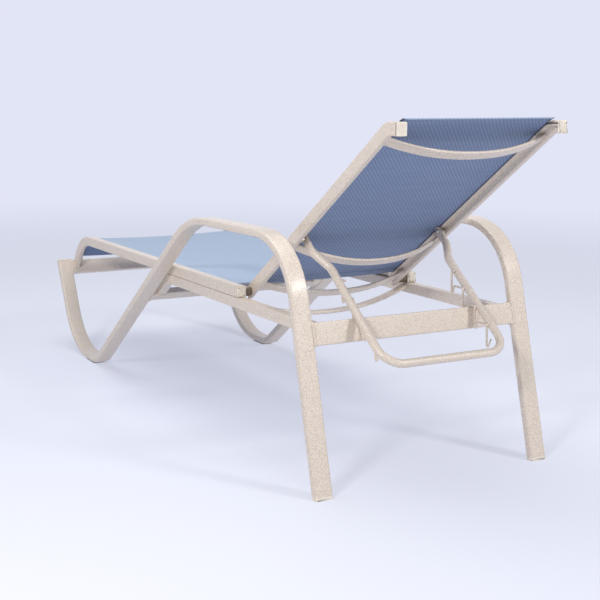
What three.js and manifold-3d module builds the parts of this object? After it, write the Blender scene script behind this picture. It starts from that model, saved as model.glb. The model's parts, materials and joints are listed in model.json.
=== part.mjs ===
// Sling chaise lounge with a notched bail that props up the back.
// Millimetres. X runs across the lounge with the sitter's left at +X, Y runs from the foot end
// to the head end, and Z is up. The origin is on the floor, under the middle of the bounding box.
import * as THREE from 'three';
import { mergeVertices } from 'three/addons/utils/BufferGeometryUtils.js';
import Module from 'manifold-3d';

const wasm = await Module();
wasm.setup();

// A place in the side view, with y toward the head end and z up
const at = (y, z) => new THREE.Vector3(0, y, z);
const acrossX = new THREE.Vector3(1, 0, 0);
const towardHead = new THREE.Vector3(0, 1, 0);
const upward = new THREE.Vector3(0, 0, 1);

// Side frame: one flat tube bent into front leg, foot, strut, arm and rear leg
const overallWidth = 634;
const tubeWidth = 44.5;
const tubeThickness = 19;
const tubeCorner = 5;
const tubeWall = 1.5;
const frontLegY = -150.3;
const frontLegDrop = 68;
const footCornerY = 42.1;
const footCornerZ = -98.3;
const armFrontY = 870.5;
const armFrontHeight = 528.8;
const armRearY = 1373.8;
const armRearHeight = 541.3;
const rearFootY = 1524.9;
const footFrontBend = 200;
const footRearBend = 70;
const armFrontBend = 280;
const armRearBend = 170;

// Caps and glides
const footCapHeight = 7;
const spigotLength = 16;
const plugSpigotLength = 6;
const spigotClearance = 0.3;
const capThickness = 3;
const capBevel = 1;
const glideLength = 68;
const glideWidth = 36;
const glideHeight = 3;
const glideCorner = 5;

// Crossbars between the two side frames
const frontBarWidth = 44.5;
const crossbarWidth = 50.8;
const middleBarWidth = 38;
const crossbarCorner = 3;
const middleBarDrop = 66;
const rearBarDrop = 2;

// Gap left at a joint that is welded all round
const weldGap = 0.3;

// Seat: the sling rails lie on a pair of lower rails
const railWidth = 25;
const railDepth = 28;
const railCorner = 2.5;
const railWall = 1.5;
const seatSideGap = 9;
const seamHeight = 340;
const seamSlopeShare = 0.0125;
const lowerRailDepth = 27;
const lowerRailBend = 60;
const seatBendStart = -4;
const seatFrontBend = 136;
const seatFrontAngle = 57;
const seatRailLeg = 46;

// Sling rail section: a hollow web, with a lip on its inner side that holds the spline's channel
const webWidth = 14;
const lipDepth = 12;
const grooveRise = 8;
const slotHeight = 2.8;
const channelRadius = 3.3;
const channelInset = 5;
const splineRadius = 2.2;

// Back: a second pair of sling rails, hinged between the seat rails
const backRailAngle = 35.85;
const backRailLength = 716.5;
const backTopBend = 30;
const backTopRun = 31.7;

// Slings
const slingThickness = 1.2;
const slingTuck = 2;
const seatSlingLeg = 8;
const seatSlingMargin = 75;
const backSlingLead = 26;
const backSlingMargin = 6;

// Spreader bars, bowed away from the sitter
const spreaderWidth = 25;
const spreaderThickness = 8;
const spreaderDrop = 5;
const spreaderCorner = 2.5;
const spreaderStations = 14;
const bowPower = 2.2;
const topSpreaderRise = 680.3;
const topSpreaderBow = 40;
const middleSpreaderRise = 233.7;
const middleSpreaderBow = 55;
const bottomSpreaderRise = 40;
const bottomSpreaderBow = 40;
const seatSpreaderRun = 2;
const seatSpreaderDrop = 9;
const seatSpreaderBow = 49;

// Hinge between seat and back
const hingeY = 1038;
const hingeEndMargin = 12;
const hingeSeatDrop = 3.3;
const hingeBackDrop = 4.2;
const hingeSideGap = 19;
const hingeShank = 3;
const hingeHeadRadius = 5.6;
const hingeHeadHeight = 5;
const hingeSpacerRadius = 11;
const hingeCollarRadius = 5;
const nutRadius = 5.8;
const nutHeight = 5;
const threadShow = 2;
const boreClearance = 0.3;
const faceGap = 0.3;

// Bail: a bent round tube that hangs from the back, with flattened ends
const bailPivotRise = 260.3;
const bailLength = 386;
const bailRadius = 9.5;
const bailWall = 1.5;
const bailEyeInset = 20;
const bailJog = 23;
const bailEyeRadius = 11;
const bailEyeThickness = 5;
const bailEyeRun = 24;
const squashStart = 12;
const squashEnd = 44;
const squashSteps = 4;
const squashSpreadShare = 1.15;
const jogEnd = 95;
const jogBend = 36;
const bailBend = 50;
const voidStart = 30;
const drainRadius = 2;
const bailShank = 3;
const bailHeadRadius = 6.5;
const bailHeadHeight = 4;
const bailSpacerRadius = 5.6;
const bailNutRadius = 5.8;
const bailNutHeight = 5;

// Racks: a round bar bent into notches, one on the inner side of each bail leg
const wireRadius = 2.5;
const wireBend = 3;
const rackGap = 0.2;
const rackPitch = 58;
const rackTeeth = 4;
const restingTooth = 3;
const notchClearance = 0.3;
const notchLip = 15.5;
const rackLead = 12;
const toothLean = 3;
const toothDepth = 49.5;
const toothWidth = 5.5;
const notchSeat = 35.4;
const tailRun = 14;
const tailRise = 18.5;

// Facets
const flatTubeStepAngle = 10;
const sweepStepAngle = 9;
const wireStepAngle = 32;
const wireSides = 8;
const bailSides = 14;
const splineSides = 8;
const turnedSides = 20;
const hexSides = 6;
const channelSteps = 8;
const eyeSteps = 16;
const cornerSteps = 2;
const cutterSize = 900;

// Shares of the size beside which they are used
const headRimShare = 1 / 3;
const headCrownShare = 2 / 3;
const slingEdgeShare = 1 / 4;

// Colours
const sandCoat = { color: 0xd8cbb8, roughness: 0.45, metalness: 0.1 };
const capPlastic = { color: 0xe4dbca, roughness: 0.55, metalness: 0 };
const glidePlastic = { color: 0x4a4644, roughness: 0.6, metalness: 0 };
const steel = { color: 0xb9b7b2, roughness: 0.3, metalness: 0.9 };
const blueMesh = { color: 0x7f97bb, roughness: 0.8, metalness: 0 };
const splinePlastic = { color: 0x55575c, roughness: 0.6, metalness: 0 };

const lounge = new THREE.Group();
lounge.name = 'sling_chaise_lounge';

function addNode(name, geometry, look) {
  const mesh = new THREE.Mesh(geometry, new THREE.MeshStandardMaterial(look));
  mesh.name = name;
  lounge.add(mesh);
}

// Turns every triangle over
function flipped(geometry) {
  const index = geometry.index.array;
  for (let i = 0; i < index.length; i += 3) {
    [index[i], index[i + 1]] = [index[i + 1], index[i]];
  }
  return geometry;
}

function mirrored(geometry) {
  return flipped(geometry.clone().scale(-1, 1, 1));
}

// Pieces are shaped on the sitter's left and mirrored for the right
function addPair(name, geometry, look) {
  addNode(`left_${name}`, geometry, look);
  addNode(`right_${name}`, mirrored(geometry), look);
}

function toSolid(geometry) {
  const bare = geometry.clone();
  bare.deleteAttribute('normal');
  bare.deleteAttribute('uv');
  const merged = mergeVertices(bare);
  return new wasm.Manifold(new wasm.Mesh({
    numProp: 3,
    vertProperties: Float32Array.from(merged.attributes.position.array),
    triVerts: Uint32Array.from(merged.index.array),
  }));
}

function toGeometry(solid) {
  const mesh = solid.getMesh();
  const geometry = new THREE.BufferGeometry();
  geometry.setAttribute('position', new THREE.BufferAttribute(mesh.vertProperties, 3));
  geometry.setIndex(new THREE.BufferAttribute(mesh.triVerts, 1));
  geometry.computeVertexNormals();
  return geometry;
}

function joined(...geometries) {
  return toGeometry(geometries.map(toSolid).reduce((whole, next) => whole.add(next)));
}

function cut(geometry, ...tools) {
  return toGeometry(tools.map(toSolid).reduce((whole, tool) => whole.subtract(tool), toSolid(geometry)));
}

// Takes away everything past a plane, on the side that its normal points to
function trimmed(geometry, point, normal) {
  const block = new THREE.BoxGeometry(cutterSize, cutterSize, cutterSize);
  block.applyQuaternion(new THREE.Quaternion().setFromUnitVectors(upward, normal));
  const middle = point.clone().addScaledVector(normal, cutterSize / 2);
  return cut(geometry, block.translate(middle.x, middle.y, middle.z));
}

// Outline of a rectangle with round corners, counter-clockwise
function roundedOutline(width, depth, radius, steps) {
  const points = [];
  const centres = [[1, 1], [-1, 1], [-1, -1], [1, -1]];
  centres.forEach(([signU, signV], quarter) => {
    for (let step = 0; step <= steps; step += 1) {
      const angle = (quarter + step / steps) * Math.PI / 2;
      points.push(new THREE.Vector2(
        signU * (width / 2 - radius) + radius * Math.cos(angle),
        signV * (depth / 2 - radius) + radius * Math.sin(angle),
      ));
    }
  });
  return points;
}

function roundOutline(radius, sides) {
  const points = [];
  for (let i = 0; i < sides; i += 1) {
    const angle = 2 * Math.PI * (i + 1 / 2) / sides;
    points.push(new THREE.Vector2(radius * Math.cos(angle), radius * Math.sin(angle)));
  }
  return points;
}

// Puts an arc at every corner that has a bend radius
function bentPath(corners, stepDegrees) {
  const points = [corners[0].at.clone()];
  for (let i = 1; i < corners.length - 1; i += 1) {
    const { at: corner, bend = 0 } = corners[i];
    const into = corner.clone().sub(corners[i - 1].at).normalize();
    const out = corners[i + 1].at.clone().sub(corner).normalize();
    const turn = into.angleTo(out);
    if (bend === 0) {
      points.push(corner.clone());
      continue;
    }
    const side = out.clone().addScaledVector(into, -into.dot(out)).normalize();
    const start = corner.clone().addScaledVector(into, -bend * Math.tan(turn / 2));
    const steps = Math.max(1, Math.ceil(THREE.MathUtils.radToDeg(turn) / stepDegrees));
    for (let step = 0; step <= steps; step += 1) {
      const angle = turn * step / steps;
      points.push(start.clone()
        .addScaledVector(into, bend * Math.sin(angle))
        .addScaledVector(side, bend * (1 - Math.cos(angle))));
    }
  }
  points.push(corners[corners.length - 1].at.clone());
  return points;
}

// Carries an outline along a path as one closed body, with mitred rings at the bends
function sweep(path, outline, { across, hole = [], startNormal, endNormal, scaleAt }) {
  const loops = [outline, [...hole].reverse()];
  const ringSize = outline.length + hole.length;
  const positions = [];
  const index = [];
  const along = path.slice(1).map((point, i) => point.clone().sub(path[i]).normalize());
  const turnTo = new THREE.Quaternion();
  let axisU = across.clone();
  path.forEach((point, i) => {
    const into = along[Math.max(i - 1, 0)];
    const out = along[Math.min(i, along.length - 1)];
    let normal = into.clone().add(out).normalize();
    if (i === 0 && startNormal) normal = startNormal;
    if (i === path.length - 1 && endNormal) normal = endNormal;
    const axisV = into.clone().cross(axisU);
    const [scaleU, scaleV] = scaleAt ? scaleAt(point) : [1, 1];
    for (const { x, y } of loops.flat()) {
      const spot = point.clone().addScaledVector(axisU, x * scaleU).addScaledVector(axisV, y * scaleV);
      const slide = point.clone().sub(spot).dot(normal) / into.dot(normal);
      positions.push(...spot.addScaledVector(into, slide).toArray());
    }
    axisU = axisU.clone().applyQuaternion(turnTo.setFromUnitVectors(into, out));
  });
  for (let ring = 0; ring < path.length - 1; ring += 1) {
    let first = ring * ringSize;
    for (const loop of loops) {
      for (let j = 0; j < loop.length; j += 1) {
        const a = first + j;
        const b = first + (j + 1) % loop.length;
        index.push(a, b, b + ringSize, a, b + ringSize, a + ringSize);
      }
      first += loop.length;
    }
  }
  const holes = hole.length ? [loops[1]] : [];
  const last = (path.length - 1) * ringSize;
  for (const [a, b, c] of THREE.ShapeUtils.triangulateShape(outline, holes)) {
    index.push(b, a, c);
    index.push(last + a, last + b, last + c);
  }
  const geometry = new THREE.BufferGeometry();
  geometry.setAttribute('position', new THREE.Float32BufferAttribute(positions, 3));
  geometry.setIndex(index);
  geometry.computeVertexNormals();
  return geometry;
}

// Where two lines in the side view cross
function crossing(point, direction, otherPoint, otherDirection) {
  const normal = at(-otherDirection.z, otherDirection.y);
  const run = otherPoint.clone().sub(point).dot(normal) / direction.dot(normal);
  return point.clone().addScaledVector(direction, run);
}

// Moves a line of corners sideways in the side view, upward from a line that runs to the head end
function raised(corners, rise) {
  const along = corners.slice(1).map((corner, i) => corner.at.clone().sub(corners[i].at).normalize());
  const lift = (direction) => at(-direction.z, direction.y).multiplyScalar(rise);
  return corners.map(({ at: corner, bend = 0 }, i) => {
    const into = along[Math.max(i - 1, 0)];
    const out = along[Math.min(i, along.length - 1)];
    const start = corner.clone().add(lift(into));
    const inner = i > 0 && i < along.length;
    return {
      at: inner ? crossing(start, into, corner.clone().add(lift(out)), out) : start,
      bend: bend > 0 ? bend + rise : 0,
    };
  });
}

function shifted(geometry, x) {
  return geometry.translate(x, 0, 0);
}

// A round body turned about an axis along X, given as a profile of [radius, x]
function turned(profile, centre) {
  const points = profile.map(([radius, x]) => new THREE.Vector2(radius, x));
  const geometry = mergeVertices(new THREE.LatheGeometry(points, turnedSides).deleteAttribute('normal')
    .deleteAttribute('uv'));
  return geometry.rotateZ(-Math.PI / 2).translate(0, centre.y, centre.z);
}

// Bolt with a domed head on the inner side, from the head's face outward
function bolt(centre, face, length, shank, headRadius, headHeight) {
  const rim = headHeight * headRimShare;
  return turned([
    [0, face - headHeight],
    [headRadius * headCrownShare, face - headHeight + rim / 2],
    [headRadius, face - rim],
    [headRadius, face],
    [shank, face],
    [shank, face + length],
    [0, face + length],
  ], centre);
}

function spacer(centre, start, end, bore, radius) {
  return turned([[bore, start], [radius, start], [radius, end], [bore, end], [bore, start]], centre);
}

function nut(centre, start, bore, radius, height) {
  const shape = new THREE.Shape(roundOutline(radius, hexSides));
  shape.holes.push(new THREE.Path(roundOutline(bore, turnedSides).reverse()));
  const geometry = new THREE.ExtrudeGeometry(shape, { depth: height, bevelEnabled: false });
  return toGeometry(toSolid(geometry.rotateY(Math.PI / 2).translate(start, centre.y, centre.z)));
}

function bore(centre, radius, start, end) {
  const drill = new THREE.CylinderGeometry(radius, radius, end - start, turnedSides);
  return drill.rotateZ(Math.PI / 2).translate((start + end) / 2, centre.y, centre.z);
}

// Side frames
const frontLegTop = at(frontLegY, seamHeight - frontLegDrop);
const footCorner = at(footCornerY, footCornerZ);
const armFrontCorner = at(armFrontY, armFrontHeight);
const armRearCorner = at(armRearY, armRearHeight);
const rearFoot = at(rearFootY, 0);
const tubeOutline = roundedOutline(tubeWidth, tubeThickness, tubeCorner, cornerSteps);
const tubeVoid = roundedOutline(tubeWidth - 2 * tubeWall, tubeThickness - 2 * tubeWall,
  tubeCorner - tubeWall, 1);
const frameCentre = (overallWidth - tubeWidth) / 2;
const frameInner = frameCentre - tubeWidth / 2;
const legUp = frontLegTop.clone().sub(footCorner).normalize();
const strutUp = armFrontCorner.clone().sub(footCorner).normalize();
const rearLegUp = armRearCorner.clone().sub(rearFoot).normalize();
const rearFace = at(rearLegUp.z, -rearLegUp.y);
const rearLegAt = (height) => rearFoot.clone().addScaledVector(rearLegUp, height / rearLegUp.z);
const footLevel = glideHeight + tubeThickness / 2;
const strutAt = (height) => footCorner.clone().addScaledVector(strutUp, (height - footCorner.z) / strutUp.z);

function sideFrame() {
  const path = bentPath([
    { at: frontLegTop },
    { at: crossing(frontLegTop, legUp, at(0, footLevel), towardHead), bend: footFrontBend },
    { at: crossing(armFrontCorner, strutUp, at(0, footLevel), towardHead), bend: footRearBend },
    { at: armFrontCorner, bend: armFrontBend },
    { at: armRearCorner, bend: armRearBend },
    { at: rearLegAt(footCapHeight) },
  ], flatTubeStepAngle);
  const tube = sweep(path, tubeOutline, { across: acrossX, hole: tubeVoid, endNormal: upward });
  return shifted(tube, frameCentre);
}

// The spigot of a cap, loose in its tube
const spigotOutline = roundedOutline(
  tubeWidth - 2 * tubeWall - 2 * spigotClearance,
  tubeThickness - 2 * tubeWall - 2 * spigotClearance,
  tubeCorner - tubeWall,
  1,
);

function frontLegCap() {
  const plate = new THREE.ExtrudeGeometry(new THREE.Shape(
    roundedOutline(tubeWidth - 2 * capBevel, tubeThickness - 2 * capBevel, tubeCorner - capBevel, cornerSteps),
  ), { depth: capThickness - capBevel, bevelThickness: capBevel, bevelSize: capBevel, bevelSegments: 1 });
  plate.applyQuaternion(new THREE.Quaternion().setFromUnitVectors(upward, legUp));
  const seat = frontLegTop.clone().addScaledVector(legUp, weldGap + capBevel);
  plate.translate(seat.x, seat.y, seat.z);
  const spigot = sweep([
    frontLegTop.clone().addScaledVector(legUp, -spigotLength),
    frontLegTop.clone().addScaledVector(legUp, capThickness / 2),
  ], spigotOutline, { across: acrossX });
  return shifted(joined(plate, spigot), frameCentre);
}

function rearFootCap() {
  const level = { across: acrossX, startNormal: upward, endNormal: upward };
  const foot = sweep([rearLegAt(0), rearLegAt(footCapHeight)], tubeOutline, level);
  const spigot = sweep([rearLegAt(footCapHeight / 2), rearLegAt(footCapHeight + spigotLength)],
    spigotOutline, level);
  return shifted(joined(foot, spigot), frameCentre);
}

// The glide lies flat under the level run between the two foot bends
function frontGlide() {
  const legCorner = crossing(frontLegTop, legUp, at(0, footLevel), towardHead);
  const strutCorner = crossing(armFrontCorner, strutUp, at(0, footLevel), towardHead);
  const levelStart = legCorner.y + footFrontBend * Math.tan(legUp.angleTo(towardHead.clone().negate()) / 2);
  const levelEnd = strutCorner.y - footRearBend * Math.tan(strutUp.angleTo(towardHead) / 2);
  const outline = roundedOutline(glideWidth, glideLength, glideCorner, cornerSteps);
  const plate = new THREE.ExtrudeGeometry(new THREE.Shape(outline), { depth: glideHeight, bevelEnabled: false });
  return toGeometry(toSolid(plate.translate(frameCentre, (levelStart + levelEnd) / 2, 0)));
}

addPair('side_frame', sideFrame(), sandCoat);
addPair('front_leg_cap', frontLegCap(), capPlastic);
addPair('rear_foot_cap', rearFootCap(), capPlastic);
addPair('front_glide', frontGlide(), glidePlastic);

// Crossbars, each lying along the tube that it meets
function crossbar(centre, width, widthAxis) {
  const outline = roundedOutline(width, tubeThickness, crossbarCorner, cornerSteps);
  const hole = roundedOutline(width - 2 * tubeWall, tubeThickness - 2 * tubeWall, tubeWall / 2, 1);
  const left = centre.clone().addScaledVector(acrossX, frameInner);
  const right = centre.clone().addScaledVector(acrossX, -frameInner);
  return sweep([right, left], outline, { across: widthAxis, hole });
}

const frontBarCentre = frontLegTop.clone().addScaledVector(legUp, -frontBarWidth / 2);
const middleBarCentre = strutAt(seamHeight - middleBarDrop);
const rearBarCentre = rearLegAt(seamHeight - rearBarDrop);
addNode('front_crossbar', crossbar(frontBarCentre, frontBarWidth, legUp), sandCoat);
addNode('middle_crossbar', crossbar(middleBarCentre, middleBarWidth, strutUp), sandCoat);
addNode('rear_crossbar', crossbar(rearBarCentre, crossbarWidth, rearLegUp), sandCoat);

// Lower rails, from the middle crossbar's rear side to the rear crossbar's front face
const seamAlong = at(1, seamSlopeShare).normalize();
const seamUp = at(-seamAlong.z, seamAlong.y);
const seamStart = at(0, seamHeight);
const inward = acrossX.clone().negate();
const seatRailCentre = frameInner - seatSideGap - railWidth / 2;

function lowerRail() {
  const outline = roundedOutline(railWidth, lowerRailDepth, railCorner, cornerSteps);
  const hole = roundedOutline(railWidth - 2 * railWall, lowerRailDepth - 2 * railWall, railWall / 2, 1);
  const start = middleBarCentre.clone().addScaledVector(strutUp, middleBarWidth / 2 + weldGap);
  const line = seamStart.clone().addScaledVector(seamUp, -lowerRailDepth / 2);
  const corner = crossing(start, strutUp, line, seamAlong);
  const facePoint = rearBarCentre.clone().addScaledVector(rearFace, -tubeThickness / 2 - weldGap);
  const end = crossing(corner, seamAlong, facePoint, rearLegUp);
  const path = bentPath([{ at: start }, { at: corner, bend: lowerRailBend }, { at: end }], sweepStepAngle);
  return shifted(sweep(path, outline, { across: inward, hole, endNormal: rearFace }), seatRailCentre);
}

// Sling rail section, with u toward the lounge's middle and v up
const channelCentre = railWidth / 2 - channelInset;

function railOutline() {
  const corner = roundedOutline(railWidth, railDepth, railCorner, cornerSteps);
  const perCorner = cornerSteps + 1;
  const top = railDepth / 2;
  const webSide = webWidth - railWidth / 2;
  const mouth = Math.asin(slotHeight / 2 / channelRadius);
  const channel = [];
  for (let step = 0; step <= channelSteps; step += 1) {
    const angle = -mouth - (2 * Math.PI - 2 * mouth) * step / channelSteps;
    channel.push(new THREE.Vector2(
      channelCentre + channelRadius * Math.cos(angle),
      grooveRise + channelRadius * Math.sin(angle),
    ));
  }
  return [
    ...corner.slice(perCorner, 3 * perCorner),
    new THREE.Vector2(webSide - railCorner, -top),
    new THREE.Vector2(webSide, -top + railCorner),
    new THREE.Vector2(webSide, top - lipDepth),
    new THREE.Vector2(railWidth / 2 - railCorner, top - lipDepth),
    new THREE.Vector2(railWidth / 2, top - lipDepth + railCorner),
    new THREE.Vector2(railWidth / 2, grooveRise - slotHeight / 2),
    ...channel,
    new THREE.Vector2(railWidth / 2, grooveRise + slotHeight / 2),
    ...corner.slice(0, perCorner),
  ];
}

const chamberMiddle = (webWidth - railWidth) / 2;
const chamberWidth = webWidth - 2 * railWall;
const chamberDepth = railDepth - 2 * railWall;

function railChamber() {
  const chamber = roundedOutline(chamberWidth, chamberDepth, railWall / 2, 1);
  return chamber.map((point) => point.add(new THREE.Vector2(chamberMiddle, 0)));
}

const slingRailOutline = railOutline();
const slingRailVoid = railChamber();

// Line along the seat rail at a rise above the rail's middle: a straight leg, the front bend and
// the long run to a rear end
const seatLine = seamStart.clone().addScaledVector(seamUp, weldGap + railDepth / 2);
const seatBendEnd = crossing(seatLine, seamAlong, at(seatBendStart, 0), upward);
const seatBendCentre = seatBendEnd.clone().addScaledVector(seamUp, -seatFrontBend);
const seamAngle = THREE.MathUtils.radToDeg(Math.atan(seamSlopeShare));
const seatRailEnd = hingeY + hingeEndMargin;
const hinge = crossing(seatLine, seamAlong, at(hingeY, 0), upward).addScaledVector(seamUp, -hingeSeatDrop);

function seatPath(rise, leg, end) {
  const radius = seatFrontBend + rise;
  const steps = Math.ceil(seatFrontAngle / sweepStepAngle);
  const arc = [];
  for (let step = 0; step <= steps; step += 1) {
    const angle = THREE.MathUtils.degToRad(THREE.MathUtils.lerp(seatFrontAngle, seamAngle, step / steps));
    arc.push(at(-Math.sin(angle), Math.cos(angle)).multiplyScalar(radius).add(seatBendCentre));
  }
  const down = THREE.MathUtils.degToRad(seatFrontAngle);
  const foot = arc[0].clone().addScaledVector(at(-Math.cos(down), -Math.sin(down)), leg);
  return [foot, ...arc, crossing(arc[steps], seamAlong, at(end, 0), upward)];
}

// The rail's front end is cut to sit on the front crossbar's top and rear faces
function seatRail() {
  const rail = sweep(seatPath(0, seatRailLeg, seatRailEnd), slingRailOutline,
    { across: inward, hole: slingRailVoid, endNormal: towardHead });
  const frontFace = at(-legUp.z, legUp.y);
  const facePoint = frontBarCentre.clone().addScaledVector(frontFace, tubeThickness / 2);
  const bar = new THREE.BoxGeometry(2 * railWidth, tubeThickness + 2 * weldGap, frontBarWidth + 2 * weldGap);
  bar.applyQuaternion(new THREE.Quaternion().setFromUnitVectors(upward, legUp));
  bar.translate(0, frontBarCentre.y, frontBarCentre.z);
  const drill = bore(hinge, hingeShank + boreClearance, -railWidth, -chamberMiddle);
  return shifted(cut(trimmed(rail, facePoint, frontFace), bar, drill), seatRailCentre);
}

// Back rail centre line, from its lower end past the hinge to the level top
const backTilt = THREE.MathUtils.degToRad(backRailAngle);
const backUp = at(Math.cos(backTilt), Math.sin(backTilt));
const awayFromSitter = at(backUp.z, -backUp.y);
const backRailAt = (rise) => hinge.clone()
  .addScaledVector(awayFromSitter, -hingeBackDrop)
  .addScaledVector(backUp, rise);
const backTopCorner = backRailAt(backRailLength);
const backRailCentre = seatRailCentre - railWidth - hingeSideGap;
const backRailFoot = hingeY - hingeEndMargin;
const backRailEnd = backTopCorner.y + backTopRun;
const bailPivot = hinge.clone().addScaledVector(backUp, bailPivotRise);
const backLine = (start, end) => [
  { at: crossing(backTopCorner, backUp, at(start, 0), upward) },
  { at: backTopCorner, bend: backTopBend },
  { at: at(end, backTopCorner.z) },
];

function backRail() {
  const path = bentPath(backLine(backRailFoot, backRailEnd), sweepStepAngle);
  const rail = sweep(path, slingRailOutline, {
    across: inward, hole: slingRailVoid, startNormal: towardHead, endNormal: towardHead,
  });
  const hingeDrill = bore(hinge, hingeShank + boreClearance, -railWidth, railWidth);
  const bailDrill = bore(bailPivot, bailShank + boreClearance, -railWidth, -chamberMiddle);
  return shifted(cut(rail, hingeDrill, bailDrill), backRailCentre);
}

// Plug on a sling rail's rear end, with a spigot in the rail's chamber
function railPlug(centre) {
  const outline = roundedOutline(railWidth - 2 * capBevel, railDepth - 2 * capBevel, railCorner - capBevel,
    cornerSteps);
  const plate = new THREE.ExtrudeGeometry(new THREE.Shape(outline), {
    depth: capThickness - 2 * capBevel, bevelThickness: capBevel, bevelSize: capBevel, bevelSegments: 1,
  }).rotateX(-Math.PI / 2).translate(0, capBevel, 0);
  const spigot = new THREE.BoxGeometry(
    chamberWidth - 4 * spigotClearance,
    plugSpigotLength + capThickness / 2,
    chamberDepth - 4 * spigotClearance,
  ).translate(-chamberMiddle, (capThickness / 2 - plugSpigotLength) / 2, 0);
  return joined(plate, spigot).translate(centre.x, centre.y, centre.z);
}

function spline(path, railCentre) {
  const rod = sweep(path, roundOutline(splineRadius, splineSides), { across: inward, endNormal: towardHead });
  return shifted(rod, railCentre - channelCentre);
}

// A sling is a sheet along the grooves, with its edges tucked into the slots
function sling(path, railCentre) {
  const width = 2 * (railCentre - railWidth / 2 + slingTuck);
  const outline = roundedOutline(width, slingThickness, slingThickness * slingEdgeShare, 1);
  return sweep(path, outline, { across: inward, endNormal: towardHead });
}

const backGroove = (start, end) => bentPath(raised(backLine(start, end), grooveRise), sweepStepAngle);
const seatRailTail = crossing(seatBendEnd, seamAlong, at(seatRailEnd, 0), upward);
const backRailTail = at(backRailEnd, backTopCorner.z);
const seatSlingEnd = seatRailEnd - seatSlingMargin;
const backSlingStart = backRailFoot + backSlingLead;
const backSlingEnd = backRailEnd - backSlingMargin;
addPair('lower_rail', lowerRail(), sandCoat);
addPair('seat_rail', seatRail(), sandCoat);
addPair('seat_end_plug', railPlug(seatRailTail.clone().setX(seatRailCentre)), capPlastic);
addPair('seat_spline', spline(seatPath(grooveRise, seatSlingLeg, seatRailEnd - faceGap), seatRailCentre),
  splinePlastic);
addNode('seat_sling', sling(seatPath(grooveRise, seatSlingLeg, seatSlingEnd), seatRailCentre), blueMesh);
addPair('back_rail', backRail(), sandCoat);
addPair('back_end_plug', railPlug(backRailTail.clone().setX(backRailCentre)), capPlastic);
addPair('back_spline', spline(backGroove(backSlingStart, backRailEnd - faceGap), backRailCentre), splinePlastic);
addNode('back_sling', sling(backGroove(backSlingStart, backSlingEnd), backRailCentre), blueMesh);

// Spreader bars between the inner faces of a pair of rails
function spreader(centre, halfSpan, bowDirection, bow, widthAxis) {
  const path = [];
  for (let i = 0; i <= spreaderStations; i += 1) {
    const share = 2 * i / spreaderStations - 1;
    const drop = bow * (1 - Math.abs(share) ** bowPower);
    path.push(centre.clone().addScaledVector(acrossX, share * halfSpan).addScaledVector(bowDirection, drop));
  }
  const outline = roundedOutline(spreaderWidth, spreaderThickness, spreaderCorner, 1);
  return sweep(path, outline, { across: widthAxis, startNormal: acrossX, endNormal: acrossX });
}

const backWebInner = backRailCentre + railWidth / 2 - webWidth;
const backSpreaders = [
  ['back_top_spreader', topSpreaderRise, topSpreaderBow],
  ['back_middle_spreader', middleSpreaderRise, middleSpreaderBow],
  ['back_bottom_spreader', bottomSpreaderRise, bottomSpreaderBow],
];
for (const [name, rise, bow] of backSpreaders) {
  const centre = backRailAt(rise).addScaledVector(awayFromSitter, spreaderDrop);
  addNode(name, spreader(centre, backWebInner, awayFromSitter, bow, backUp), sandCoat);
}
const downward = upward.clone().negate();
const seatSpreaderCentre = crossing(seamStart, seamAlong, at(hingeY + seatSpreaderRun, 0), upward)
  .addScaledVector(downward, seatSpreaderDrop);
addNode('seat_spreader', spreader(seatSpreaderCentre, seatRailCentre - railWidth / 2, downward,
  seatSpreaderBow, towardHead), sandCoat);

// Hinge hardware, from the back rail's web into the seat rail's chamber, which holds the nut. The
// spacer has a slim collar where it passes under the seat rail's lip.
const hingeOuter = seatRailCentre + railWidth / 2;
const spacerStart = backRailCentre + railWidth / 2;
const collarStart = seatRailCentre - railWidth / 2;
const collarEnd = hingeOuter - webWidth;
const hingeNutSeat = collarEnd + railWall;
const hingeBoltLength = hingeNutSeat - backWebInner + nutHeight + threadShow;
const hingeBore = hingeShank + boreClearance;
addPair('hinge_bolt', bolt(hinge, backWebInner, hingeBoltLength, hingeShank, hingeHeadRadius, hingeHeadHeight),
  steel);
addPair('hinge_spacer', turned([
  [hingeBore, spacerStart],
  [hingeSpacerRadius, spacerStart],
  [hingeSpacerRadius, collarStart],
  [hingeCollarRadius, collarStart],
  [hingeCollarRadius, collarEnd],
  [hingeBore, collarEnd],
  [hingeBore, spacerStart],
], hinge), glidePlastic);
addPair('hinge_nut', nut(hinge, hingeNutSeat, hingeBore, nutRadius, nutHeight), steel);

// Bail hardware, from the eye's inner face into the back rail's chamber, which holds the nut
const bailEyeCentre = backRailCentre - bailEyeInset;
const bailLegCentre = bailEyeCentre - bailJog;
const eyeOuter = bailEyeCentre + bailEyeThickness / 2;
const eyeInner = bailEyeCentre - bailEyeThickness / 2;
const bailBore = bailShank + boreClearance;
const bailNutSeat = backWebInner + railWall;
const bailBoltFace = eyeInner - faceGap;
const bailBoltLength = bailNutSeat - bailBoltFace + bailNutHeight + threadShow;
addPair('bail_bolt', bolt(bailPivot, bailBoltFace, bailBoltLength, bailShank, bailHeadRadius, bailHeadHeight),
  steel);
addPair('bail_spacer', spacer(bailPivot, eyeOuter + faceGap, backWebInner, bailBore, bailSpacerRadius), steel);
addPair('bail_nut', nut(bailPivot, bailNutSeat, bailBore, bailNutRadius, bailNutHeight), steel);

// Bail tube, which lies in line with the notch that rests on the rear crossbar's top edge
const restingCorner = rearBarCentre.clone()
  .addScaledVector(rearLegUp, crossbarWidth / 2)
  .addScaledVector(rearFace, tubeThickness / 2)
  .add(at(notchLip, notchClearance + wireRadius));
const bailDown = restingCorner.clone().sub(bailPivot).normalize();
const bailFoot = bailPivot.clone().addScaledVector(bailDown, bailLength);
const bailSpot = (x, run) => bailPivot.clone().addScaledVector(bailDown, run).setX(x);

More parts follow.
